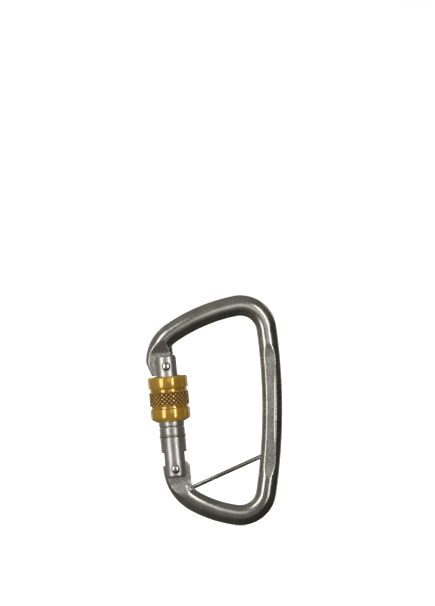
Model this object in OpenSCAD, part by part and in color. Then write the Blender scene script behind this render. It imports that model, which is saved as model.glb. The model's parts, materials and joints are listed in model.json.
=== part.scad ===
// Screw-gate snap hook for keys and gear: an asymmetric D of round steel bar, a hinged gate with
// a knurled locking sleeve, and a fixed bar that closes off the small end.
// The hook stands upright in the XZ plane: the wide end is up (+Z), the gate is on the left (-X)
// and the front faces -Y. The origin is the middle of the whole object. Millimetres.

/* [Bar] */
// Diameter of the round bar
bar_d = 10; // [9.6:0.1:10.4]
// Centre of the wide end's bend, X
top_x = 12.65; // [12.2:0.05:13.1]
// Height of the wide end's bend centre above the origin
top_z = 38.1; // [37.6:0.1:38.6]
// Centreline radius of the wide end's bend
top_r = 12.9; // [12.4:0.1:13.4]
// Centre of the small end's bend, X
small_x = 12.65; // [12.2:0.05:13.1]
// Depth of the small end's bend centre below the origin
small_z = 38.2; // [37.6:0.1:38.8]
// Centreline radius of the small end's bend
small_r = 12.8; // [12.4:0.1:13.2]
// Centre of the bend behind the nose, distance left of the origin
nose_x = 12; // [11.6:0.1:12.4]
// Height of the nose bend's centre
nose_z = 24; // [23.6:0.1:24.4]
// Centreline radius of the nose bend
nose_r = 16.25; // [16:0.05:16.5]
// Centre of the bend below the hinge, X
heel_x = 1; // [0.6:0.1:1.4]
// Depth of the heel bend's centre below the origin
heel_z = 26; // [25.6:0.1:26.4]
// Centreline radius of the heel bend
heel_r = 21; // [20.8:0.1:21.2]
// Centreline radius of the slightly bowed spine
spine_r = 280; // [240:5:340]
// Centreline radius of the long bow at the wide end
wide_bow_r = 86; // [82:1:92]
// Centreline radius of the bow at the small end
small_bow_r = 56; // [52:1:60]

/* [Flats] */
// Thickness of the flattened nose blade and hinge tang
blade_t = 6.9; // [6.6:0.1:7.1]
// Middle of the straight strip that is stamped on the spine, X
spine_flat_x = 27.1; // [26.9:0.1:27.3]
// Width of that strip
spine_flat_w = 5; // [4.6:0.1:5.2]
// Depth of each stamped flat on the spine
spine_flat_depth = 0.73; // [0.5:0.01:0.9]
// Half the full-depth length of the spine flats
spine_flat_half = 27; // [24:1:29]
// Length over which a spine flat runs out to a point
spine_runout = 6; // [4:0.5:8]
// Slope of the ramp above the nose blade
nose_ramp = 14; // [12:1:18]
// Slope of the run-out below the hinge tang
tang_ramp = 12.5; // [11:0.5:15]

/* [Gate] */
// Hinge axis, distance left of the origin
hinge_x = 18.7; // [18.5:0.1:18.9]
// Hinge axis, distance below the origin
hinge_z = 28.6; // [28.4:0.1:28.8]
// Lean of the closed gate from the vertical, its top away from the spine
lean = 5.25; // [5:0.05:5.5]
// Diameter of the gate barrel
barrel_d = 12.4; // [12.2:0.1:12.6]
// Barrel end below the hinge axis
barrel_foot = 3.7; // [3.4:0.1:3.8]
// Barrel end above the hinge axis
barrel_top = 55.6; // [55.2:0.1:55.8]
// Width of the slots that take the blade and the tang
slot_w = 7.2; // [7.2:0.1:7.4]
// Height of the lower slot's floor above the hinge axis
low_slot = 8.3; // [8.2:0.1:8.6]
// Height of the upper slot's floor above the hinge axis
high_slot = 45.7; // [45.6:0.05:45.75]
// Height of the latch pin above the hinge axis
latch_z = 50; // [49.9:0.1:50.1]
// Diameter of the latch pin and of the hinge rivet
pin_d = 3; // [2.9:0.05:3]
// Diameter of the domed rivet heads
head_d = 3.8; // [3.6:0.1:4.2]
// Crown of the rivet heads above the barrel
head_h = 0.55; // [0.4:0.05:0.7]

/* [Sleeve] */
// Outer diameter of the locking sleeve's plain bands
sleeve_d = 19.2; // [19:0.1:19.3]
// Rise of the knurled band above the plain bands
knurl_rise = 0.2; // [0.1:0.05:0.3]
// Bottom of the sleeve above the hinge axis
sleeve_low = 23.3; // [23.2:0.1:23.6]
// Top of the sleeve above the hinge axis
sleeve_high = 45.3; // [45.2:0.05:45.35]
// Depth of the necks between the sleeve's bands
neck_depth = 0.7; // [0.5:0.05:0.9]
// Lead of the screw thread
thread_lead = 3; // [2.5:0.5:3.5]
// Half-angle of the cone that wedges on the nose
cone = 19.5; // [19:0.5:20]
// Height of the stop ring above the hinge axis
stop_z = 16.2; // [16:0.1:16.4]

/* [Captive bar] */
// Diameter of the captive bar
captive_d = 2.1; // [2:0.05:2.2]
// Left end of the captive bar's visible length, X
captive_x = -10.1; // [-10.4:0.1:-9.8]
// Left end of the captive bar's visible length, Z
captive_z = -37.3; // [-37.6:0.1:-37]
// Slope of the captive bar
captive_slope = 24.4; // [24:0.1:24.8]
// Visible length of the captive bar
captive_span = 35.5; // [35:0.1:36]

/* [Hidden] */
$fa = 1.5;
$fs = 0.4;
steel = [0.60, 0.59, 0.56];
bright_steel = [0.74, 0.74, 0.73];
gold = [0.78, 0.58, 0.20];
black = [0.08, 0.08, 0.08];

bar_r = bar_d / 2;
bow_step = 0.02;
bow_lap = 0.4;
barrel_r = barrel_d / 2;
pin_r = pin_d / 2;
captive_r = captive_d / 2;
sleeve_r = sleeve_d / 2;
run_gap = 0.05;                          // radial gap of a pin that turns in a hole
hinge = [-hinge_x, -hinge_z];
top_c = [top_x, top_z];
small_c = [small_x, -small_z];
nose_c = [-nose_x, nose_z];
heel_c = [heel_x, -heel_z];

// Centre of a long arc that runs tangent round two bends, on the left of the line c1 to c2
function tangent_centre(c1, r1, c2, r2, long_r) =
    let (d = norm(c2 - c1), u = (c2 - c1) / d,
         a = ((long_r - r1) ^ 2 - (long_r - r2) ^ 2 + d ^ 2) / (2 * d),
         h = sqrt((long_r - r1) ^ 2 - a ^ 2))
    c1 + a * u + h * [-u.y, u.x];

function bearing(from, to) = atan2(to.y - from.y, to.x - from.x);

// A point of the XZ plane in the gate's own axes: X towards the spine, Z towards the nose
function in_gate(p) =
    [(p.x - hinge.x) * cos(lean) + (p.y - hinge.y) * sin(lean),
     (p.y - hinge.y) * cos(lean) - (p.x - hinge.x) * sin(lean)];

small_bow_c = tangent_centre(heel_c, heel_r, small_c, small_r, small_bow_r);
spine_c = tangent_centre(small_c, small_r, top_c, top_r, spine_r);
wide_bow_c = tangent_centre(top_c, top_r, nose_c, nose_r, wide_bow_r);
heel_joint = bearing(small_bow_c, heel_c);
small_joint = bearing(small_bow_c, small_c);
spine_low_joint = bearing(spine_c, small_c);
spine_high_joint = bearing(spine_c, top_c);
top_joint = bearing(wide_bow_c, top_c);
nose_joint = bearing(wide_bow_c, nose_c);
bar_foot_angle = 173;                    // where the bar ends above the hinge
bar_nose_angle = 206;                    // where the bar ends below the nose

nose_post_r = bar_r - 0.1;               // straight end of the bar inside the gate's slot
nose_post_x = -1.1;
nose_in_gate = in_gate(nose_c);
nose_post_top = nose_in_gate.y + sqrt(nose_r ^ 2 - (nose_in_gate.x - nose_post_x) ^ 2);
shoulder_z = 56.6;                       // foot of the nose ramp
nose_sweep_r = 46.4;                     // the nose ends on this arc, so the sleeve swings clear
latch_gap = 0.1;
tip_r = 7.35;                            // radius of the nose's cone at cone_z
cone_z = 45.8;

tang_edge = 7.05;                        // edge of the tang on the spine's side
tang_top = 2;
tang_rough_t = blade_t + 0.5;            // tang plate before its sides are cut flat
tang_flat_end = 6.9;                     // length of the flat below the hinge
tang_ramp_turn = 17.5;                   // the run-out follows the bar, so it turns by this
cam_offset = 2.2;
cam_r = 4.7;
plunger_gap = 0.05;
bore_r = 2.6;
plunger_r = 2.5;
plunger_low = cam_r + plunger_gap;
plunger_high = 13;
bore_top = 25;
wire_r = 0.3;
coil_r = 1.9;
coil_turns = 9;

thread_pitch = thread_lead / 2;          // two starts
thread_low = 26.6;
thread_count = 12;
thread_depth = 0.5;
barrel_round = 1.3;
head_seat = barrel_r - 0.45;             // the rivet heads start this far from the middle plane
stop_wire_r = 0.45;
stop_ring_r = barrel_r - 0.05;
sleeve_bore_r = barrel_r + 0.1;
sleeve_rim_r = 8.35;
ring_wire_r = 0.45;
ring_r = sleeve_bore_r + 0.4;
ring_z = 33.4;
captive_seat = 4.5;                      // depth of each end of the captive bar in the body

module along_y(thickness) {
    rotate([90, 0, 0]) linear_extrude(thickness, center = true) children();
}

// Cylinder across the object, through a point [x, z]
module cross_pin(at, r, length) {
    translate([at.x, 0, at.y]) rotate([90, 0, 0]) cylinder(h = length, r = r, center = true);
}

// Places children in the gate's axes, with the hinge at their origin
module on_gate() {
    translate([hinge.x, 0, hinge.y]) rotate([0, -lean, 0]) children();
}

// Prism across the X direction, from an outline of [y, z] points, on both sides of the bar
module side_cuts(outline, width) {
    for (side = [0, 1]) {
        mirror([0, side, 0]) rotate([90, 0, 90]) linear_extrude(width, center = true) polygon(outline);
    }
}

// Part of a ring of round bar in the XZ plane, from one angle to another
module bend(centre, r, from, to, section_r = bar_r) {
    translate([centre.x, 0, centre.y]) rotate([90, 0, 0]) rotate([0, 0, from])
        rotate_extrude(angle = to - from) translate([r, 0]) circle(r = section_r);
}

// Long arc between two bends, a hair thinner than they are and lapped a little way into each
module bow(centre, r, from, to) {
    lap = bow_lap / r * 180 / PI;
    bend(centre, r, from - lap, to + lap, bar_r - bow_step);
}

module bar_loop() {
    bend(heel_c, heel_r, bar_foot_angle, heel_joint + 360);
    bow(small_bow_c, small_bow_r, heel_joint, small_joint);
    bend(small_c, small_r, small_joint, spine_low_joint);
    bow(spine_c, spine_r, spine_low_joint, spine_high_joint);
    bend(top_c, top_r, spine_high_joint, top_joint);
    bow(wide_bow_c, wide_bow_r, top_joint, nose_joint);
    bend(nose_c, nose_r, nose_joint, bar_nose_angle);
}

module tang_plate() {
    on_gate() along_y(tang_rough_t)
        polygon([[-3, tang_top + 1], [tang_edge, tang_top + 1], [tang_edge, -11.5], [0, -9]]);
}

module tang_top_cut() {
    on_gate() translate([0, 0, tang_top + 6]) cube([24, 12, 12], center = true);
}

module nose_post() {
    on_gate() translate([nose_post_x, 0, 0]) {
        translate([0, 0, 42]) cylinder(h = nose_post_top - 42, r = nose_post_r);
        translate([0, 0, nose_post_top]) sphere(r = nose_post_r);
    }
}

module cam() {
    on_gate() cross_pin([cam_offset, 0], cam_r, tang_rough_t);
}

module nose_side_cuts() {
    half = blade_t / 2;
    on_gate() side_cuts([[half, 38], [half, shoulder_z],
                         [half + 4, shoulder_z + 4 / tan(nose_ramp)], [half + 4, 38]], 40);
}

module tang_side_cuts() {
    half = blade_t / 2;
    translate([hinge.x, 0, hinge.y]) rotate([0, -tang_ramp_turn, 0])
        side_cuts([[half, 12], [half, -tang_flat_end],
                   [half + 4, -tang_flat_end - 4 / tan(tang_ramp)], [half + 4, 12]], 30);
}

module spine_side_cuts() {
    floor_y = bar_r - spine_flat_depth;
    rise = spine_flat_depth / spine_runout;
    end_z = spine_flat_half + 3 / rise;
    translate([spine_flat_x, 0, 0])
        side_cuts([[floor_y, -spine_flat_half], [floor_y, spine_flat_half], [floor_y + 3, end_z],
                   [floor_y + 3, -end_z]], spine_flat_w);
}

// Everything outside the cone that the sleeve wedges on
module nose_cone_cut() {
    low = 40;
    high = 54.5;
    on_gate() difference() {
        translate([0, 0, low]) cylinder(h = high - low, r = 20);
        translate([0, 0, low - 1])
            cylinder(h = high - low + 2, r1 = tip_r + (low - 1 - cone_z) * tan(cone),
                     r2 = tip_r + (high + 1 - cone_z) * tan(cone));
    }
}

// Ring segment about the hinge, from radius r1 to r2, between two angles from the gate's axis
module hinge_sector(r1, r2, from, to, thickness) {
    on_gate() rotate([90, 0, 0]) rotate([0, 0, 90 - to])
        rotate_extrude(angle = to - from) translate([r1, -thickness / 2]) square([r2 - r1, thickness]);
}

// The bar as forged, before its flats are pressed and its holes are cut
module forged_bar() {
    difference() {
        union() {
            bar_loop();
            tang_plate();
        }
        tang_top_cut();
    }
    cam();
    nose_post();
}

// The forged bar with its nose, tang and spine pressed flat
module pressed_bar() {
    difference() {
        difference() {
            forged_bar();
            nose_side_cuts();
            nose_cone_cut();
        }
        tang_side_cuts();
        spine_side_cuts();
    }
}

module body() {
    latch_r = pin_r + latch_gap;
    color(steel) difference() {
        pressed_bar();
        hinge_sector(34, nose_sweep_r, -16, 16, 14);
        hinge_sector(latch_z - latch_r, latch_z + latch_r, 0, 12, 14);
        on_gate() cross_pin([0, latch_z], latch_r, 14);
        on_gate() cross_pin([0, 0], pin_r + run_gap, 14);
        captive_rod(captive_seat);
    }
}

// The rod along the captive bar's axis, running on past both visible ends
module captive_rod(beyond) {
    translate([captive_x, 0, captive_z]) rotate([0, 90 - captive_slope, 0])
        translate([0, 0, -beyond]) cylinder(h = captive_span + 2 * beyond, r = captive_r);
}

module captive_bar() {
    color(bright_steel) captive_rod(captive_seat);
}

// Shallow counterbores for one rivet's heads
module rivet_seats(z) {
    for (side = [-1, 1]) {
        translate([0, side * (head_seat + 2), z]) rotate([90, 0, 0])
            cylinder(h = 4, r = head_d / 2 + 0.1, center = true);
    }
}

module gate_barrel() {
    thread_root = barrel_r - thread_depth;
    corner = [for (a = [0 : 15 : 90])
        [barrel_r - barrel_round + barrel_round * cos(a), barrel_top - barrel_round + barrel_round * sin(a)]];
    thread = [for (i = [0 : thread_count - 1], step = [[0, 0], [0.3, 1], [0.7, 1], [1, 0]])
        [step[1] == 1 ? thread_root : barrel_r, thread_low + (i + step[0] * 0.9) * thread_pitch]];
    color(bright_steel) on_gate() difference() {
        rotate_extrude()
            polygon(concat([[0, -barrel_foot], [barrel_r - 0.4, -barrel_foot],
                            [barrel_r, 0.4 - barrel_foot]], thread, corner, [[0, barrel_top]]));
        translate([0, 0, stop_z]) rotate_extrude() translate([stop_ring_r, 0]) circle(r = stop_wire_r + 0.02);
        translate([-10, -slot_w / 2, -10]) cube([20, slot_w, 10 + low_slot]);
        translate([-10, -slot_w / 2, high_slot]) cube([20, slot_w, 20]);
        for (z = [0, latch_z]) {
            cross_pin([0, z], pin_r, 20);
            rivet_seats(z);
        }
        cylinder(h = bore_top, r = bore_r);
    }
}

// Plain shank with a low dome at each end
module rivet() {
    dome_r = (head_d ^ 2 / 4 + head_h ^ 2) / (2 * head_h);
    cross_pin([0, 0], pin_r, 2 * head_seat + 0.2);
    for (side = [-1, 1]) {
        rotate([-90 * side, 0, 0]) translate([0, 0, head_seat])
            cylinder(h = barrel_r - head_seat, r = head_d / 2);
        rotate([-90 * side, 0, 0]) intersection() {
            translate([0, 0, barrel_r + head_h - dome_r]) sphere(r = dome_r);
            translate([0, 0, barrel_r]) cylinder(h = head_h, r = head_d / 2);
        }
    }
}

module hinge_rivet() {
    color(bright_steel) on_gate() rivet();
}

module latch_pin() {
    color(bright_steel) on_gate() translate([0, 0, latch_z]) rivet();
}

// Round wire wound round the gate's axis, as one swept solid
module gate_spring() {
    rings = coil_turns * 18;
    sides = 8;
    low = plunger_high + wire_r + 0.05;
    rise = bore_top - plunger_high - 2 * wire_r - 0.1;
    points = [for (i = [0 : rings], j = [0 : sides - 1])
        let (turn = 360 * coil_turns * i / rings, a = 360 * j / sides, r = coil_r + wire_r * cos(a))
        [r * cos(turn), r * sin(turn), low + rise * i / rings + wire_r * sin(a)]];
    walls = [for (i = [0 : rings - 1], j = [0 : sides - 1])
        let (next = (j + 1) % sides)
        [i * sides + j, i * sides + next, (i + 1) * sides + next, (i + 1) * sides + j]];
    first = [for (j = [sides - 1 : -1 : 0]) j];
    last = [for (j = [0 : sides - 1]) rings * sides + j];
    color(bright_steel) on_gate() polyhedron(points, concat(walls, [first, last]), convexity = 10);
}

module spring_plunger() {
    color(bright_steel) on_gate() translate([0, 0, plunger_low])
        cylinder(h = plunger_high - plunger_low, r = plunger_r);
}

// Open wire ring in a groove of the barrel, which the unscrewed sleeve comes to rest on
module stop_ring() {
    color(steel) on_gate() translate([0, 0, stop_z]) rotate([0, 0, 98])
        rotate_extrude(angle = 344) translate([stop_ring_r, 0]) circle(r = stop_wire_r);
}

module sleeve_ring() {
    color(black) on_gate() translate([0, 0, ring_z])
        rotate_extrude() translate([ring_r, 0]) circle(r = ring_wire_r - 0.05);
}

module locking_sleeve() {
    neck_r = sleeve_r - neck_depth;
    knurl_r = sleeve_r + knurl_rise;
    top_band = sleeve_high - 5.8;
    knurl_high = top_band - 1.7;
    knurl_low = knurl_high - 6.6;
    low_band = knurl_low - 1.4;
    cone_foot = sleeve_high - (sleeve_rim_r - sleeve_bore_r) / tan(cone);
    outline = [[sleeve_bore_r, sleeve_low], [6.9, sleeve_low], [8.8, sleeve_low + 1.1],
               [sleeve_r, sleeve_low + 2], [sleeve_r, low_band - 0.3], [neck_r, low_band],
               [neck_r, knurl_low], [knurl_r - 0.2, knurl_low], [knurl_r, knurl_low + 0.2],
               [knurl_r, knurl_high - 0.2], [knurl_r - 0.2, knurl_high], [neck_r, knurl_high],
               [neck_r, top_band], [sleeve_r, top_band + 0.3], [sleeve_r, sleeve_high - 0.7],
               [sleeve_r - 0.7, sleeve_high], [sleeve_rim_r, sleeve_high], [sleeve_bore_r, cone_foot]];
    color(gold) on_gate() difference() {
        rotate_extrude() polygon(outline);
        translate([0, 0, ring_z - ring_wire_r])
            cylinder(h = 2 * ring_wire_r, r = ring_r + ring_wire_r);
    }
}

body();
captive_bar();
gate_barrel();
hinge_rivet();
latch_pin();
gate_spring();
spring_plunger();
stop_ring();
sleeve_ring();
locking_sleeve();
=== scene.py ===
"""Screw-gate snap hook for keys and gear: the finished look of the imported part.

The sections follow the order in which the hook is put together: the forged bar, the captive bar, the gate's
barrel with what it holds, and the locking sleeve. The studio comes last. Outlines are in millimetres and
everything that reaches Blender is in metres.
"""

import json
import math

import bmesh
import bpy
from mathutils import Matrix, Vector


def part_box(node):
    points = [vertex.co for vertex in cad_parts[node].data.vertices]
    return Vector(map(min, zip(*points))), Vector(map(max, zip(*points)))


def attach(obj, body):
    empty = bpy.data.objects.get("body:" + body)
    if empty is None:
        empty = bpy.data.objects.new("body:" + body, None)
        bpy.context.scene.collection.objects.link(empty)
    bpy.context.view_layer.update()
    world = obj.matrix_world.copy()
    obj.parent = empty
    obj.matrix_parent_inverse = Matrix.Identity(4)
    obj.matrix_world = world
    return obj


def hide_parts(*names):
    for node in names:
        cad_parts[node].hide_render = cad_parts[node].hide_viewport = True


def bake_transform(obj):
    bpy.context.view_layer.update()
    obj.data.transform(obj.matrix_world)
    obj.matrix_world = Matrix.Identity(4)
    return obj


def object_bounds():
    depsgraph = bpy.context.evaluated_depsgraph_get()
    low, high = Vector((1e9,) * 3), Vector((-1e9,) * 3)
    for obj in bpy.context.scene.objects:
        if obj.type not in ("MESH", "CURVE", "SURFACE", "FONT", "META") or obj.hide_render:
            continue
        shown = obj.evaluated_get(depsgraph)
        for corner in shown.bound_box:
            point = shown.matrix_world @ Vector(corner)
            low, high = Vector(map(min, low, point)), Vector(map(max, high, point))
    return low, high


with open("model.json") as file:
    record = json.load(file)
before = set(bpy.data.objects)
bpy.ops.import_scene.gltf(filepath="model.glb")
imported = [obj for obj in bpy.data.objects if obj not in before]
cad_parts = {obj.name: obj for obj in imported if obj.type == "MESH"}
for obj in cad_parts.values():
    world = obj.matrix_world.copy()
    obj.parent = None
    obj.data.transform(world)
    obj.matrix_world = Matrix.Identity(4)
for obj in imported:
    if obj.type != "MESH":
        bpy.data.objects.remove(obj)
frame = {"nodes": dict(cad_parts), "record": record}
cad_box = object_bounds()

# ---------------------------------------------------------------------------------------------------------
# Hook bar
# Ten-millimetre round steel, bent hot into a lopsided D. The nose, the tang and the sides of the spine are
# stamped flat between dies, and the bar is then tumbled, which leaves a soft shine and wears each edge round.

MM = 0.001
BAR_CELL = 0.34 * MM
BAR_WEAR_PASSES = 5
BAR_RADIUS = 5 * MM
LOOP_RADIUS = 40 * MM
SHOULDER_X = 25 * MM
SHOULDER_WIDTH = 2.4 * MM
SHOULDER_END = 31 * MM
SHOULDER_WEAR_PASSES = 24
WEAR_STRENGTH = 0.5
STAMPED_FACING = 0.972
STAMPED_FACING_BLEND = 0.004
STAMPED_INSET = 0.3 * MM
STAMPED_INSET_BLEND = 0.25 * MM
MERGE_DISTANCE = 0.001 * MM


class Wire:
    """An output of a node. Arithmetic on it adds Math nodes to the same material."""

    def __init__(self, tree, socket):
        self.tree = tree
        self.socket = socket

    def node(self, kind, inputs, settings=None, output=0):
        """Adds a node, with its settings first and then the values or links of its inputs."""
        made = self.tree.nodes.new("ShaderNode" + kind)
        for name, value in (settings or {}).items():
            setattr(made, name, value)
        for name, value in inputs.items():
            if isinstance(value, Wire):
                self.tree.links.new(value.socket, made.inputs[name])
            else:
                made.inputs[name].default_value = value
        return Wire(self.tree, made.outputs[output])

    def math(self, operation, *values):
        return self.node("Math", dict(enumerate(values)), {"operation": operation})

    def __add__(self, other):
        return self.math("ADD", self, other)

    def __radd__(self, other):
        return self.math("ADD", other, self)

    def __sub__(self, other):
        return self.math("SUBTRACT", self, other)

    def __rsub__(self, other):
        return self.math("SUBTRACT", other, self)

    def __mul__(self, other):
        return self.math("MULTIPLY", self, other)

    def __rmul__(self, other):
        return self.math("MULTIPLY", other, self)

    def between(self, low, high):
        """A colour that goes from low to high as this value goes from 0 to 1."""
        return self.node("Mix", {0: self, 6: low, 7: high}, {"data_type": "RGBA"}, output=2)

    def step(self, low, high):
        """0 below low and 1 above high, with a smooth rise between them."""
        limits = {"Value": self, "From Min": low, "From Max": high}
        return self.node("MapRange", limits, {"interpolation_type": "SMOOTHSTEP"})

    def axes(self):
        """The three components of this vector."""
        parts = self.node("SeparateXYZ", {"Vector": self}).socket.node
        return [Wire(self.tree, component) for component in parts.outputs]

    def mapped(self, **inputs):
        """This coordinate after a Mapping node's Rotation or Scale."""
        return self.node("Mapping", {"Vector": self, **inputs})

    def noise(self, size, detail=2.0, rough=0.5):
        """Noise over this coordinate, with blotches of about the given size."""
        blotches = {"Vector": self, "Scale": 1 / size, "Detail": detail, "Roughness": rough}
        return self.node("TexNoise", blotches)


class Finish:
    """A material whose constants sit on the shader, and whose varying values are linked to it."""

    def __init__(self, name, **constants):
        self.material = bpy.data.materials.new(name)
        self.material.use_nodes = True
        self.tree = self.material.node_tree
        self.shader = self.tree.nodes["Principled BSDF"]
        for socket, value in constants.items():
            self.shader.inputs[socket.replace("_", " ")].default_value = value
        place = self.tree.nodes.new("ShaderNodeTexCoord")
        self.place = Wire(self.tree, place.outputs["Object"])

    def attribute(self, name):
        return self.place.node("Attribute", {}, {"attribute_name": name}, output="Fac")

    def vary(self, socket, wire):
        self.tree.links.new(wire.socket, self.shader.inputs[socket])

    def relief(self, height, depth):
        """Bumps the surface by a height from 0 to 1, which stands for a depth in metres."""
        bump = self.place.node("Bump", {"Height": height, "Distance": depth}, output="Normal")
        self.vary("Normal", bump)


def settled(piece):
    """Works an object's modifiers into its mesh."""
    shape = piece.evaluated_get(bpy.context.evaluated_depsgraph_get())
    mesh = bpy.data.meshes.new_from_object(shape)
    piece.modifiers.clear()
    piece.data = mesh
    return piece


def as_object(name, bm):
    mesh = bpy.data.meshes.new(name)
    bm.to_mesh(mesh)
    bm.free()
    piece = bpy.data.objects.new(name, mesh)
    bpy.context.collection.objects.link(piece)
    return piece


def tumbled(piece, cell, passes):
    """Gives a piece an even mesh and wears its edges round."""
    even = piece.modifiers.new("even_faces", "REMESH")
    even.mode = "VOXEL"
    even.voxel_size = cell
    wear = piece.modifiers.new("worn_edges", "SMOOTH")
    wear.factor = WEAR_STRENGTH
    wear.iterations = passes
    return settled(piece)


def worn_further(piece, passes, chosen):
    """Wears those points of a piece that the test chooses."""
    points = piece.vertex_groups.new(name="worn")
    points.add([vertex.index for vertex in piece.data.vertices if chosen(vertex.co)], 1.0, "REPLACE")
    wear = piece.modifiers.new("further_wear", "SMOOTH")
    wear.factor = WEAR_STRENGTH
    wear.iterations = passes
    wear.vertex_group = points.name
    settled(piece)
    piece.vertex_groups.clear()


def on_inner_shoulder(point):
    """Whether a point lies at the border of the spine's flats that faces the gate."""
    return abs(point.x - SHOULDER_X) < SHOULDER_WIDTH and abs(point.z) < SHOULDER_END


def fitted(piece, finish, body, slot, *nodes, crease=40):
    """Puts a finish on a piece, which stands for its CAD nodes, and rides on a body unless it stretches."""
    piece.data.shade_smooth()
    piece.data.set_sharp_from_angle(angle=math.radians(crease))
    piece.data.materials.clear()
    piece.data.materials.append(finish.material)
    if body:
        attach(piece, body)
    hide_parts(*nodes)
    return piece


def mark_stamped_faces(mesh):
    """Marks the pressed flats: they face the front or back, and lie inside the round of the bar."""
    stamped = mesh.attributes.new("stamped", "FLOAT", "POINT")
    for vertex, mark in zip(mesh.vertices, stamped.data):
        squareness = (abs(vertex.normal.y) - STAMPED_FACING) / STAMPED_FACING_BLEND
        inset = (BAR_RADIUS - STAMPED_INSET - abs(vertex.co.y)) / STAMPED_INSET_BLEND
        mark.value = max(0.0, min(1.0, squareness, inset))


def tumbled_steel():
    """Forged steel: softly shining where it is round, dull and pitted where a die pressed it."""
    finish = Finish("tumbled_steel", Metallic=1.0)
    stamped = finish.attribute("stamped")
    clouds = finish.place.noise(9 * MM, detail=3)
    ripple = finish.place.noise(2.6 * MM, detail=1)
    pits = finish.place.noise(0.8 * MM, detail=3, rough=0.7)
    across, depth, height = finish.place.axes()
    round_the_loop = height.math("ARCTAN2", height, across) * LOOP_RADIUS
    scratches = depth.node("CombineXYZ", {"X": round_the_loop, "Y": depth * 0.06}).noise(0.3 * MM, detail=3)
    round_colour = clouds.step(0.3, 0.7).between((0.54, 0.515, 0.475, 1), (0.68, 0.66, 0.62, 1))
    pressed_colour = pits.step(0.3, 0.7).between((0.34, 0.325, 0.30, 1), (0.74, 0.72, 0.69, 1))
    finish.vary("Base Color", stamped.between(round_colour, pressed_colour))
    round_gloss = 0.12 + clouds * 0.1 + scratches * 0.16
    pressed_gloss = 0.38 + pits * 0.16
    finish.vary("Roughness", round_gloss * (1 - stamped) + pressed_gloss * stamped)
    finish.relief(ripple * 0.4 + scratches * 0.16 * (1 - stamped) + pits * (0.05 + stamped * 0.6), 0.05 * MM)
    return finish


hook_shape = bmesh.new()
hook_shape.from_mesh(frame["nodes"]["body"].data)
bmesh.ops.remove_doubles(hook_shape, verts=hook_shape.verts, dist=MERGE_DISTANCE)
hook_bar = tumbled(as_object("hook_bar", hook_shape), BAR_CELL, BAR_WEAR_PASSES)
worn_further(hook_bar, SHOULDER_WEAR_PASSES, on_inner_shoulder)
mark_stamped_faces(hook_bar.data)
fitted(hook_bar, tumbled_steel(), "hook", "body_steel", "body", crease=60)

# ---------------------------------------------------------------------------------------------------------
# Captive bar
# A length of bright drawn wire across the small end, pressed into a hole at each side. Drawing leaves it
# straight and shining, with faint lines along its length.

ROD_SLOPE = math.radians(24.4)
ROD_END_ROUND = 0.25 * MM
SHARP_ANGLE = math.radians(25)
PIN_SIDES = 48


def drawn_steel(name, axis, dull=(0.60, 0.58, 0.55, 1), bright=(0.76, 0.75, 0.72, 1)):
    """Drawn steel with faint lines along an axis."""
    finish = Finish(name, Metallic=1.0)
    tilt = Vector(axis).to_track_quat("Z", "Y").inverted().to_euler()
    lines = finish.place.mapped(Rotation=tilt).mapped(Scale=(1, 1, 0.04)).noise(0.25 * MM, detail=2)
    clouds = finish.place.noise(4 * MM)
    finish.vary("Base Color", clouds.between(dull, bright))
    finish.vary("Roughness", 0.1 + lines * 0.12)
    finish.relief(lines, 0.004 * MM)
    return finish


def turned(outline, steps, closed=False):
    """A solid of revolution about Z, from an outline of (radius, height) points in millimetres."""
    bm = bmesh.new()
    points = [bm.verts.new((radius * MM, 0, height * MM)) for radius, height in outline]
    pairs = list(zip(points, points[1:]))
    if closed:
        pairs.append((points[-1], points[0]))
    edges = [bm.edges.new(pair) for pair in pairs]
    bmesh.ops.spin(bm, geom=points + edges, cent=(0, 0, 0), axis=(0, 0, 1), dvec=(0, 0, 0),
                   angle=2 * math.pi, steps=steps, use_merge=True)
    bmesh.ops.remove_doubles(bm, verts=bm.verts, dist=MERGE_DISTANCE)
    bmesh.ops.recalc_face_normals(bm, faces=bm.faces)
    return bm


def round_edges(bm, radius, segments=2):
    """Bevels every edge at which the surface turns sharply."""
    sharp = [edge for edge in bm.edges if edge.is_manifold and edge.calc_face_angle() > SHARP_ANGLE]
    bmesh.ops.bevel(bm, geom=sharp, offset=radius, offset_type="OFFSET", segments=segments, profile=0.5,
                    affect="EDGES", clamp_overlap=True, material=-1)


rod_low, rod_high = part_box("captive_bar")
rod_radius_mm = (rod_high.y - rod_low.y) / 2 / MM
rod_middle = (rod_low + rod_high) / 2
rod_axis = Vector((math.cos(ROD_SLOPE), 0, math.sin(ROD_SLOPE)))
rod_half_mm = ((rod_high.x - rod_low.x) / MM / 2 - rod_radius_mm * math.sin(ROD_SLOPE)) / math.cos(ROD_SLOPE)
rod_shape = turned([(0, -rod_half_mm), (rod_radius_mm, -rod_half_mm), (rod_radius_mm, 0),
                    (rod_radius_mm, rod_half_mm), (0, rod_half_mm)], PIN_SIDES)
round_edges(rod_shape, ROD_END_ROUND)
rod_shape.transform(Matrix.Translation(rod_middle) @ rod_axis.to_track_quat("Z", "Y").to_matrix().to_4x4())
captive_bar = as_object("captive_cross_bar", rod_shape)
rod_steel = drawn_steel("drawn_steel", rod_axis, dull=(0.42, 0.40, 0.37, 1), bright=(0.56, 0.54, 0.51, 1))
fitted(captive_bar, rod_steel, "hook", "pin_steel", "captive_bar")

# ---------------------------------------------------------------------------------------------------------
# Gate barrel
# Turned from bar stock: slotted at the foot for the tang and at the top for the nose, bored for the spring,
# and cut with a two-start thread under the sleeve. It is satin-finished on the lathe, so it shows fine rings.

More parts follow.
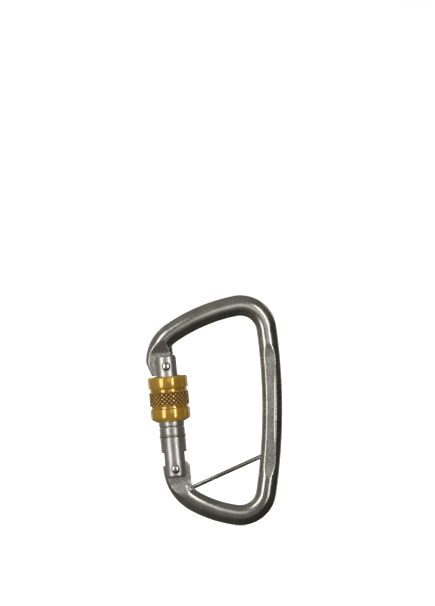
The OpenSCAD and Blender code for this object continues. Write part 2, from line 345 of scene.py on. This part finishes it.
joints = {joint["name"]: joint for joint in frame["record"]["behaviour"]["joints"]}
gate_axis = Vector(joints["plunger_travel"]["axis"]).normalized()
gate_across = Vector((0, 1, 0))
gate_inward = gate_across.cross(gate_axis)
gate_place = Matrix.Translation(Vector(joints["gate_swing"]["pos_m"])) @ Matrix(
    (gate_inward, gate_across, gate_axis)).transposed().to_4x4()


def gate_span(node):
    """Lowest and highest point of a CAD node along the gate, from the hinge, in millimetres."""
    back = gate_place.inverted()
    heights = [(back @ vertex.co).z / MM for vertex in frame["nodes"][node].data.vertices]
    return min(heights), max(heights)


def gate_width(node):
    """Width of a CAD node from front to back, in millimetres."""
    low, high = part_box(node)
    return (high.y - low.y) / MM


BARREL_FOOT, BARREL_TOP = gate_span("gate_barrel")
BARREL_R = gate_width("gate_barrel") / 2
FOOT_ROUND = 0.7
SHOULDER_ROUND = 1.3
SLOT_WIDTH = 7.2
LOW_SLOT = 8.3
HIGH_SLOT = 45.7
LATCH_HEIGHT = sum(gate_span("latch_pin")) / 2
PIN_R = 1.5
RIVET_HEAD_R = 1.9
RIVET_SEAT = 0.45
RIVET_PLAY = 0.1
BORE_R = 2.6
BORE_TOP = 25
STOP_LOW, STOP_HIGH = gate_span("stop_ring")
STOP_HEIGHT = (STOP_LOW + STOP_HIGH) / 2
STOP_WIRE_R = (STOP_HIGH - STOP_LOW) / 2
STOP_RING_R = BARREL_R - 0.05
STOP_PLAY = 0.03
MARK_HEIGHT = 20.7
MARK_R = 0.4
THREAD_LOW = 26.6
THREAD_HIGH = 44.4
THREAD_PITCH = 1.5
THREAD_STARTS = 2
THREAD_DEPTH = 0.5
THREAD_ROWS = 12
THREAD_FADE = 1.2
BARREL_SIDES = 96
BARREL_CELL = 0.206 * MM
BARREL_WEAR_PASSES = 3
CUT_LENGTH = 20


def arc(centre, radius, first, last, count):
    """Points of an outline's round corner, with angles in degrees."""
    turn = [math.radians(first + (last - first) * i / count) for i in range(count + 1)]
    return [(centre[0] + radius * math.cos(a), centre[1] + radius * math.sin(a)) for a in turn]


def cut_thread(bm):
    """Sinks a two-start helical groove into the rows between the ends of the thread."""
    for vertex in bm.verts:
        height = vertex.co.z / MM
        radius = math.hypot(vertex.co.x, vertex.co.y)
        if THREAD_LOW < height < THREAD_HIGH and radius > 0.9 * BARREL_R * MM:
            turn = math.atan2(vertex.co.y, vertex.co.x) / (2 * math.pi)
            phase = (height / THREAD_PITCH - THREAD_STARTS * turn) % 1
            flank = max(0, min(1, abs(phase - 0.5) * 4 - 0.6))
            fade = max(0, min(1, (height - THREAD_LOW) / THREAD_FADE, (THREAD_HIGH - height) / THREAD_FADE))
            depth = THREAD_DEPTH * MM * (1 - flank) * fade
            inward = 1 - depth / radius
            vertex.co.x *= inward
            vertex.co.y *= inward


def block(size, centre):
    """A box with its size and centre in millimetres."""
    bm = bmesh.new()
    bmesh.ops.create_cube(bm, size=MM)
    bmesh.ops.scale(bm, vec=size, verts=bm.verts)
    bmesh.ops.translate(bm, vec=Vector(centre) * MM, verts=bm.verts)
    return bm


def drill(radius, length, centre, axis):
    """A round bar to cut with, centred on a point, in millimetres."""
    bm = bmesh.new()
    bmesh.ops.create_cone(bm, cap_ends=True, segments=48, radius1=radius * MM, radius2=radius * MM,
                          depth=length * MM)
    turn = Vector(axis).to_track_quat("Z", "Y").to_matrix().to_4x4()
    bm.transform(Matrix.Translation(Vector(centre) * MM) @ turn)
    return bm


def carve(piece, cutter):
    """Takes the cutter's space out of a piece."""
    tool = as_object("cutter", cutter)
    cut = piece.modifiers.new("cut", "BOOLEAN")
    cut.operation = "DIFFERENCE"
    cut.solver = "EXACT"
    cut.object = tool
    settled(piece)
    bpy.data.objects.remove(tool)


def lathe_rings(place, size, detail):
    """Fine rings round the gate's axis, as a lathe leaves them."""
    tilt = (0, math.asin(-gate_axis.x), 0)
    return place.mapped(Rotation=tilt).mapped(Scale=(0.03, 0.03, 1)).noise(size, detail=detail)


def lathe_steel():
    """Satin steel with fine rings from the lathe."""
    finish = Finish("lathe_steel", Metallic=1.0)
    rings = lathe_rings(finish.place, 0.22 * MM, detail=3)
    clouds = finish.place.noise(5 * MM, detail=3)
    specks = finish.place.noise(0.8 * MM, detail=3, rough=0.7)
    finish.vary("Base Color", clouds.step(0.3, 0.7).between((0.66, 0.64, 0.60, 1), (0.78, 0.76, 0.73, 1)))
    finish.vary("Roughness", 0.24 + rings * 0.12 + specks * 0.1)
    finish.relief(rings * 0.6 + specks * 0.4, 0.012 * MM)
    return finish


thread_row_count = round((THREAD_HIGH - THREAD_LOW) / THREAD_PITCH * THREAD_ROWS)
thread_rows = [THREAD_LOW + (THREAD_HIGH - THREAD_LOW) * i / thread_row_count
               for i in range(thread_row_count + 1)]
barrel_shape = turned(
    [(0, BARREL_FOOT), (BARREL_R - FOOT_ROUND, BARREL_FOOT)]
    + arc((BARREL_R - FOOT_ROUND, BARREL_FOOT + FOOT_ROUND), FOOT_ROUND, -75, 0, 5)
    + [(BARREL_R, height) for height in thread_rows]
    + arc((BARREL_R - SHOULDER_ROUND, BARREL_TOP - SHOULDER_ROUND), SHOULDER_ROUND, 0, 90, 6)
    + [(0, BARREL_TOP)], BARREL_SIDES)
cut_thread(barrel_shape)
stop_groove = turned(arc((STOP_RING_R, STOP_HEIGHT), STOP_WIRE_R + STOP_PLAY, 0, 345, 23), BARREL_SIDES,
                     closed=True)
mark_groove = turned(arc((BARREL_R, MARK_HEIGHT), MARK_R, 0, 330, 11), BARREL_SIDES, closed=True)
seat_y = BARREL_R - RIVET_SEAT + CUT_LENGTH / 2
seats = [drill(RIVET_HEAD_R + RIVET_PLAY, CUT_LENGTH, (0, side * seat_y, height), (0, 1, 0))
         for height in (0, LATCH_HEIGHT) for side in (-1, 1)]
pin_holes = [drill(PIN_R, CUT_LENGTH, (0, 0, height), (0, 1, 0)) for height in (0, LATCH_HEIGHT)]
slots = [block((CUT_LENGTH, SLOT_WIDTH, CUT_LENGTH), (0, 0, LOW_SLOT - CUT_LENGTH / 2)),
         block((CUT_LENGTH, SLOT_WIDTH, CUT_LENGTH), (0, 0, HIGH_SLOT + CUT_LENGTH / 2))]
spring_bore = drill(BORE_R, BORE_TOP, (0, 0, BORE_TOP / 2), (0, 0, 1))
barrel = as_object("threaded_barrel", barrel_shape)
for cutter in seats + pin_holes + slots + [spring_bore, stop_groove, mark_groove]:
    carve(barrel, cutter)
tumbled(barrel, BARREL_CELL, BARREL_WEAR_PASSES)
barrel.data.transform(gate_place)
fitted(barrel, lathe_steel(), "gate", "gate_steel", "gate_barrel", crease=60)

# ---------------------------------------------------------------------------------------------------------
# Hinge rivet and latch pin
# Two bright steel rivets across the gate. The lower one is the hinge, and the upper one drops into the
# nose's notch. Their ends are peened into low domes in shallow seats.

RIVET_CROWN = gate_width("hinge_rivet") / 2 - BARREL_R
RIVET_REACH = BARREL_R + RIVET_CROWN
RIVET_SEAT_Y = BARREL_R - RIVET_SEAT


def rivet_shape():
    """A shank with a low domed head at each end, along Z."""
    dome_r = (RIVET_HEAD_R ** 2 + RIVET_CROWN ** 2) / (2 * RIVET_CROWN)
    rim = math.degrees(math.asin(RIVET_HEAD_R / dome_r))
    dome = arc((0, RIVET_REACH - dome_r), dome_r, 90 - rim, 90, 8)[:-1]
    upper = [(PIN_R, 0), (PIN_R, RIVET_SEAT_Y), (RIVET_HEAD_R, RIVET_SEAT_Y)] + dome + [(0, RIVET_REACH)]
    lower = [(radius, -height) for radius, height in reversed(upper[1:])]
    bm = turned(lower + upper, PIN_SIDES)
    round_edges(bm, 0.12 * MM)
    return bm


from_upright = Matrix.Rotation(math.radians(90), 4, "X")
for name, height in (("hinge_rivet", 0), ("latch_pin", LATCH_HEIGHT)):
    bm = rivet_shape()
    bm.transform(gate_place @ Matrix.Translation((0, 0, height * MM)) @ from_upright)
    rivet = as_object(name + "_peened", bm)
    fitted(rivet, drawn_steel(name + "_steel", (0, 1, 0)), "gate", "pin_steel", name)

# ---------------------------------------------------------------------------------------------------------
# Stop ring
# An open ring of spring wire, snapped into a groove round the barrel. The sleeve comes to rest on it when it
# is unscrewed all the way.

STOP_RING_OPENING = 16


def wire_steel(name):
    """Spring wire with a drawn, slightly oily shine."""
    finish = Finish(name, Metallic=1.0)
    clouds = finish.place.noise(1.5 * MM, detail=2)
    finish.vary("Base Color", clouds.between((0.44, 0.42, 0.39, 1), (0.66, 0.64, 0.61, 1)))
    finish.vary("Roughness", 0.2 + clouds * 0.2)
    finish.relief(clouds, 0.006 * MM)
    return finish


def wound_wire(wire_r, sides, coil_r, low, high, degrees, steps):
    """Round wire wound about Z, from a low to a high middle height, with both ends closed."""
    bm = bmesh.new()
    bmesh.ops.create_circle(bm, segments=sides, radius=wire_r * MM, cap_ends=False)
    bm.transform(Matrix.Translation((coil_r * MM, 0, low * MM)) @ from_upright)
    first_end = list(bm.edges)
    wound = bmesh.ops.spin(bm, geom=list(bm.verts) + first_end, cent=(0, 0, 0), axis=(0, 0, 1),
                           dvec=(0, 0, (high - low) * MM / steps), angle=math.radians(degrees), steps=steps)
    last_end = [item for item in wound["geom_last"] if isinstance(item, bmesh.types.BMEdge)]
    for end in (first_end, last_end):
        bmesh.ops.edgeloop_fill(bm, edges=end)
    bmesh.ops.recalc_face_normals(bm, faces=bm.faces)
    return bm


ring_shape = wound_wire(STOP_WIRE_R, 20, STOP_RING_R, STOP_HEIGHT, STOP_HEIGHT, 360 - STOP_RING_OPENING, 90)
round_edges(ring_shape, 0.12 * MM)
behind = math.radians(90 + STOP_RING_OPENING / 2)
ring_shape.transform(gate_place @ Matrix.Rotation(behind, 4, "Z"))
fitted(as_object("stop_wire_ring", ring_shape), wire_steel("stop_wire"), "gate", "spring_steel", "stop_ring")

# ---------------------------------------------------------------------------------------------------------
# Gate spring and plunger
# Inside the barrel, a coil spring pushes a hardened plunger against the tang's cam, and so closes the gate.
# The spring is wound from wire, and shortens as the plunger rises. The plunger is ground round at both ends.

SPRING_WIRE_R = 0.3
SPRING_LOW, SPRING_HIGH = gate_span("gate_spring")
SPRING_COIL_R = gate_width("gate_spring") / 2 - SPRING_WIRE_R
SPRING_TURNS = 9
PLUNGER_LOW, PLUNGER_HIGH = gate_span("spring_plunger")
PLUNGER_R = gate_width("spring_plunger") / 2
PLUNGER_ROUND = 0.35 * MM

spring_shape = wound_wire(SPRING_WIRE_R, 12, SPRING_COIL_R, SPRING_LOW + SPRING_WIRE_R,
                          SPRING_HIGH - SPRING_WIRE_R, 360 * SPRING_TURNS, 36 * SPRING_TURNS)
spring_shape.transform(gate_place)
spring = as_object("wound_gate_spring", spring_shape)
fitted(spring, wire_steel("spring_wire"), None, "spring_steel", "gate_spring")
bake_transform(spring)

plunger_shape = turned([(0, PLUNGER_LOW), (PLUNGER_R, PLUNGER_LOW), (PLUNGER_R, PLUNGER_HIGH),
                        (0, PLUNGER_HIGH)], PIN_SIDES)
round_edges(plunger_shape, PLUNGER_ROUND, segments=3)
plunger_shape.transform(gate_place)
plunger = as_object("ground_plunger", plunger_shape)
fitted(plunger, drawn_steel("ground_steel", gate_axis), "plunger", "pin_steel", "spring_plunger")

# ---------------------------------------------------------------------------------------------------------
# Sleeve ring
# A small nitrile ring in a groove inside the sleeve. Its drag keeps the sleeve where it is left.

RUBBER_LOW, RUBBER_HIGH = gate_span("sleeve_ring")
RUBBER_RING_HEIGHT = (RUBBER_LOW + RUBBER_HIGH) / 2
RUBBER_WIRE_R = (RUBBER_HIGH - RUBBER_LOW) / 2
RUBBER_RING_R = gate_width("sleeve_ring") / 2 - RUBBER_WIRE_R


def nitrile():
    """Dull black rubber with a fine moulded grain."""
    finish = Finish("nitrile_rubber", Specular_IOR_Level=0.35)
    grain = finish.place.noise(0.15 * MM, detail=2)
    finish.vary("Base Color", grain.between((0.010, 0.010, 0.011, 1), (0.028, 0.028, 0.027, 1)))
    finish.vary("Roughness", 0.5 + grain * 0.2)
    finish.relief(grain, 0.01 * MM)
    return finish


rubber_shape = turned(arc((RUBBER_RING_R, RUBBER_RING_HEIGHT), RUBBER_WIRE_R, 0, 340, 17), 72, closed=True)
rubber_shape.transform(gate_place)
fitted(as_object("rubber_ring", rubber_shape), nitrile(), "ring", "nitrile", "sleeve_ring", crease=60)

# ---------------------------------------------------------------------------------------------------------
# Locking sleeve
# Turned from aluminium and anodised gold: a plain band at each end and a diamond-knurled grip between two
# necks. Its mouth is bored to a cone that wedges on the nose, and handling has polished the knurl's points.
# The knurl's points are also painted a brighter gold as a highlight, and its valleys are painted dark as
# shade.

SLEEVE_LOW, SLEEVE_HIGH = gate_span("locking_sleeve")
KNURL_R = gate_width("locking_sleeve") / 2
KNURL_RISE = 0.2
SLEEVE_R = KNURL_R - KNURL_RISE
SLEEVE_FOOT_R = 6.9
SLEEVE_BORE_R = 6.3
SLEEVE_MOUTH_R = 8.35
SLEEVE_CONE = math.radians(19.5)
NECK_DEPTH = 0.7
UNDERCUT = 0.35
TOP_BAND = SLEEVE_HIGH - 5.8
KNURL_HIGH = TOP_BAND - 1.7
KNURL_LOW = KNURL_HIGH - 6.6
LOW_BAND = KNURL_LOW - 1.4
KNURL_DIAMONDS = 26
KNURL_ROWS = 6
KNURL_EDGE = 0.2
KNURL_ROW_HEIGHT = (KNURL_HIGH - KNURL_LOW - 2 * KNURL_EDGE) / KNURL_ROWS
KNURL_DEPTH = 0.55
KNURL_LAND = 0.3 * MM
SLEEVE_ROUND = 0.09 * MM


def knurl(bm):
    """Sinks the valleys between the grip's diamonds, and cuts a small flat on the point of each."""
    depth = bm.verts.layers.float.new("knurl_depth")
    grip, points = set(), []
    for vertex in bm.verts:
        radius = math.hypot(vertex.co.x, vertex.co.y) / MM
        row = (vertex.co.z / MM - KNURL_LOW - KNURL_EDGE) / KNURL_ROW_HEIGHT
        if radius < KNURL_R - 0.01 or not -0.01 < row < KNURL_ROWS + 0.01:
            continue
        column = math.atan2(vertex.co.y, vertex.co.x) / math.pi * KNURL_DIAMONDS
        rise = min(1 - abs((column + row) % 2 - 1), 1 - abs((column - row) % 2 - 1))
        vertex[depth] = 1 - 0.8 * rise
        inward = 1 - KNURL_DEPTH * (1 - rise) / KNURL_R
        vertex.co.x *= inward
        vertex.co.y *= inward
        grip.update(vertex.link_faces)
        if rise > 0.99 and 0.1 < row < KNURL_ROWS - 0.1:
            points.append(vertex)
    first, last = KNURL_LOW + KNURL_EDGE, KNURL_HIGH - KNURL_EDGE
    inside = [face for face in grip if first < face.calc_center_median().z / MM < last]
    bmesh.ops.triangulate(bm, faces=inside, quad_method="SHORT_EDGE")
    bmesh.ops.bevel(bm, geom=points, offset=KNURL_LAND, offset_type="OFFSET", segments=1, profile=0.5,
                    affect="VERTICES", clamp_overlap=True, material=-1)


def gold_anodise():
    """Gold anodised aluminium: satin bands, and a knurl whose points are smoother and painted a brighter gold
    as a highlight, and whose valleys are painted dark as shade.
    """
    finish = Finish("gold_anodise", Metallic=0.7, Coat_Roughness=0.1, Coat_IOR=1.7)
    depth = finish.attribute("knurl_depth")
    clouds = finish.place.noise(6 * MM, detail=3)
    specks = finish.place.noise(0.7 * MM, detail=3, rough=0.7)
    rings = lathe_rings(finish.place, 0.2 * MM, detail=2)
    band = clouds.step(0.3, 0.7).between((0.54, 0.295, 0.035, 1), (0.66, 0.385, 0.055, 1))
    # Painted highlight: the knurl's points are given a brighter gold.
    painted_glint_on_points = depth.step(0.1, 0.2) * (1 - depth.step(0.3, 0.6))
    band_with_painted_glints = painted_glint_on_points.between(band, (1.0, 0.74, 0.34, 1))
    # Painted shade: the knurl's valleys are given a dark brown.
    painted_valley_shade = specks.between((0.07, 0.022, 0.012, 1), (0.18, 0.065, 0.02, 1))
    finish.vary("Base Color", depth.step(0.6, 0.85).between(band_with_painted_glints, painted_valley_shade))
    finish.vary("Roughness", 0.11 + rings * 0.07 + specks * 0.06 + depth * 0.15)
    finish.vary("Coat Weight", 0.75 - depth * 0.5)
    finish.relief(rings * 0.5 + specks * 0.5, 0.01 * MM)
    return finish


neck_r = SLEEVE_R - NECK_DEPTH
groove_half = RUBBER_WIRE_R + 0.05
groove_r = RUBBER_RING_R + RUBBER_WIRE_R + 0.05
cone_foot = SLEEVE_HIGH - (SLEEVE_MOUTH_R - SLEEVE_BORE_R) / math.tan(SLEEVE_CONE)
knurl_rows = [KNURL_LOW + KNURL_EDGE + KNURL_ROW_HEIGHT * i / 2 for i in range(2 * KNURL_ROWS + 1)]
sleeve_shape = turned(
    [(SLEEVE_BORE_R, SLEEVE_LOW), (SLEEVE_FOOT_R, SLEEVE_LOW), (8.8, SLEEVE_LOW + 1.1),
     (SLEEVE_R, SLEEVE_LOW + 2), (SLEEVE_R, LOW_BAND - 0.3), (neck_r, LOW_BAND),
     (neck_r, KNURL_LOW - UNDERCUT), (neck_r - UNDERCUT, KNURL_LOW), (SLEEVE_R, KNURL_LOW)]
    + [(KNURL_R, height) for height in knurl_rows]
    + [(SLEEVE_R, KNURL_HIGH), (neck_r, KNURL_HIGH), (neck_r, TOP_BAND - UNDERCUT),
       (neck_r - UNDERCUT, TOP_BAND), (SLEEVE_R, TOP_BAND + 0.1),
       (SLEEVE_R, SLEEVE_HIGH - 0.7), (SLEEVE_R - 0.7, SLEEVE_HIGH), (SLEEVE_MOUTH_R, SLEEVE_HIGH),
       (SLEEVE_BORE_R, cone_foot), (SLEEVE_BORE_R, RUBBER_RING_HEIGHT + groove_half),
       (groove_r, RUBBER_RING_HEIGHT + groove_half), (groove_r, RUBBER_RING_HEIGHT - groove_half),
       (SLEEVE_BORE_R, RUBBER_RING_HEIGHT - groove_half)], 4 * KNURL_DIAMONDS, closed=True)
round_edges(sleeve_shape, SLEEVE_ROUND)
knurl(sleeve_shape)
bmesh.ops.recalc_face_normals(sleeve_shape, faces=sleeve_shape.faces)
sleeve_shape.transform(gate_place)
sleeve = as_object("knurled_sleeve", sleeve_shape)
fitted(sleeve, gold_anodise(), "sleeve", "gold_sleeve", "locking_sleeve", crease=32)

# ---------------------------------------------------------------------------------------------------------
# Studio
# A pale floor under a soft overhead light. Three softboxes before the hook and two behind it draw the bright
# lines along the worn bar. Between them the room is dim, so the round steel shows its dark bands.

CAMERA_DISTANCE = 2.0
SENSOR = 36
FRAME_HEIGHT = 0.2948
CAMERA_X = 0.0016
CAMERA_Z = 0.0522
SKY_STRENGTH = 4.8
SKY_SPREAD = math.radians(70)
FLOOR_GAP = 0.3 * MM
FLOOR_HALF = 30


def softbox(name, azimuth, elevation, distance, width, height, power):
    """A rectangular light that faces the hook. Azimuth 0 is over the camera, and it grows to the right."""
    light = bpy.data.lights.new(name, "AREA")
    light.shape = "RECTANGLE"
    light.size = width
    light.size_y = height
    light.energy = power
    lamp = bpy.data.objects.new(name, light)
    bpy.context.collection.objects.link(lamp)
    a, e = math.radians(azimuth), math.radians(elevation)
    away = Vector((math.sin(a) * math.cos(e), -math.cos(a) * math.cos(e), math.sin(e)))
    lamp.location = away * distance
    lamp.rotation_euler = away.to_track_quat("Z", "Y").to_euler()
    lamp.visible_camera = False


softbox("left_softbox", -41, 12, distance=0.3, width=0.1, height=0.32, power=0.235)
softbox("right_softbox", 28, 13, distance=1.2, width=0.2, height=1.1, power=2.8)
softbox("top_softbox", 9, 18, distance=0.205, width=0.12, height=0.1, power=0.021)
softbox("rear_left_softbox", -142, 10, distance=1.2, width=0.25, height=1.2, power=0.8)
softbox("rear_right_softbox", 142, 10, distance=1.2, width=0.2, height=1.2, power=0.8)

sky_light = bpy.data.lights.new("overhead", "SUN")
sky_light.energy = SKY_STRENGTH
sky_light.angle = SKY_SPREAD
overhead = bpy.data.objects.new("overhead", sky_light)
overhead.visible_glossy = False
bpy.context.collection.objects.link(overhead)

world = bpy.data.worlds.new("studio")
bpy.context.scene.world = world
world.use_nodes = True
room = world.node_tree
direction = Wire(room, room.nodes.new("ShaderNodeTexCoord").outputs["Generated"])
rightward, backward, upward = direction.axes()
walls = (upward * 0.35 - rightward * 0.35 + 0.33).between((0.04, 0.037, 0.031, 1), (0.25, 0.243, 0.227, 1))
fill = (backward * -1).step(0.7, 1.0).between(walls, (0.155, 0.15, 0.14, 1))
seen = Wire(room, room.nodes.new("ShaderNodeLightPath").outputs["Is Camera Ray"])
room.links.new(seen.between(fill, (1, 1, 1, 1)).socket, room.nodes["Background"].inputs["Color"])

floor_shape = bmesh.new()
bmesh.ops.create_grid(floor_shape, x_segments=1, y_segments=1, size=FLOOR_HALF)
bmesh.ops.translate(floor_shape, vec=(0, 0, cad_box[0].z - FLOOR_GAP), verts=floor_shape.verts)
floor = as_object("floor", floor_shape)
floor_paint = Finish("pale_floor", Base_Color=(0.5, 0.5, 0.495, 1), Roughness=0.9,
                     Emission_Color=(1, 1, 0.99, 1), Emission_Strength=0.6)
floor.data.materials.append(floor_paint.material)
floor.visible_glossy = False

camera_data = bpy.data.cameras.new("camera")
camera_data.sensor_width = SENSOR
camera_data.lens = SENSOR * CAMERA_DISTANCE / FRAME_HEIGHT
camera = bpy.data.objects.new("camera", camera_data)
bpy.context.collection.objects.link(camera)
camera.location = (CAMERA_X, -CAMERA_DISTANCE, CAMERA_Z)
camera.rotation_euler = (math.radians(90), 0, 0)
bpy.context.scene.camera = camera
bpy.context.scene.view_settings.view_transform = "Standard"
